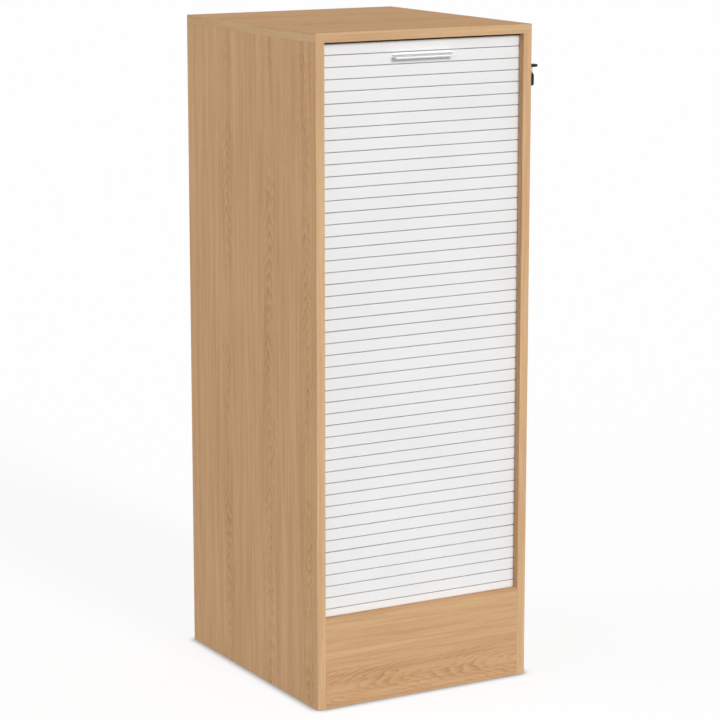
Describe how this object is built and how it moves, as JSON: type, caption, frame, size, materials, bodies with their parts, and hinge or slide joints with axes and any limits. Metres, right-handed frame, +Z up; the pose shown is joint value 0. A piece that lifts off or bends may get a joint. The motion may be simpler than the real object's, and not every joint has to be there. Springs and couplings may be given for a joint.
{
  "type": "tambour filing cabinet",
  "caption": "Tall narrow filing cabinet in oak-look board, with a white roller shutter that slides down behind its plinth, thin filing shelves inside and a key lock on its side.",
  "frame": {"origin": "on the floor, under the middle of the carcass", "axes": "+Z up, the shutter faces -Y, the lock is on the +X side"},
  "size_m": [0.455, 0.4761, 1.15],
  "materials": {
    "oak_board": "oak-look melamine, satin",
    "oak_edge": "oak-look edge band, satin",
    "white_board": "white coated fibreboard",
    "shutter_white": "white satin PVC",
    "handle_aluminium": "satin anodised",
    "keeper_plastic": "grey moulded plastic",
    "lock_nickel": "nickel plated",
    "key_black": "black moulded plastic",
    "zinc_fittings": "zinc plated",
    "beech": "plain beech"
  },
  "bodies": {
    "cabinet": {"side_panel_left": "oak_board", "side_panel_right": "oak_board", "edge_band_left": "oak_edge", "edge_band_right": "oak_edge", "top_panel": "oak_board", "top_edge_bands": "oak_edge", "bottom_panel": "oak_board", "compartment_floor": "oak_board", "plinth_panel": "oak_board", "inner_back_panel": "white_board", "back_panel": "white_board", "filing_shelf_01": "white_board", "filing_shelf_02": "white_board", "filing_shelf_03": "white_board", "filing_shelf_04": "white_board", "filing_shelf_05": "white_board", "filing_shelf_06": "white_board", "filing_shelf_07": "white_board", "filing_shelf_08": "white_board", "filing_shelf_09": "white_board", "filing_shelf_10": "white_board", "shutter_slats": "shutter_white", "lock_housing": "lock_nickel", "lock_nut": "lock_nickel", "cam_bolts": "zinc_fittings", "cam_discs": "zinc_fittings", "wood_dowels": "beech", "back_nails": "zinc_fittings"},
    "shutter": {"shutter_top_slat": "shutter_white", "shutter_handle_slat": "shutter_white", "handle": "handle_aluminium", "handle_screws": "zinc_fittings", "lock_keeper": "keeper_plastic"},
    "key": {"lock_plug": "lock_nickel", "lock_cam": "lock_nickel", "cam_screw": "zinc_fittings", "key_blade": "lock_nickel", "key_bow": "key_black"},
    "ring": {"key_ring": "lock_nickel"},
    "spare": {"spare_key_blade": "lock_nickel", "spare_key_bow": "key_black"}
  },
  "joints": [
    {"name": "shutter_slide", "type": "slide", "parent": "cabinet", "child": "shutter", "axis": [0, 0, -1], "range_m": [0, 0.939], "deforming": ["shutter_slats"]},
    {"name": "key_turn", "type": "hinge", "parent": "cabinet", "child": "key", "pos_m": [0.209, -0.197, 1.075], "axis": [-1, 0, 0], "range_deg": [0, 90]},
    {"name": "key_ring_hang", "type": "hinge", "parent": "key", "child": "ring", "pos_m": [0.235, -0.18975, 1.075], "axis": [-1, 0, 0], "range_deg": [-90, 0]},
    {"name": "spare_key_swing", "type": "hinge", "parent": "ring", "child": "spare", "pos_m": [0.235, -0.18975, 1.0579], "axis": [0, 1, 0], "range_deg": [-20, 20]}
  ],
  "couplings": [
    {"joint": "key_ring_hang", "follows": "key_turn", "ratio": -1}
  ]
}
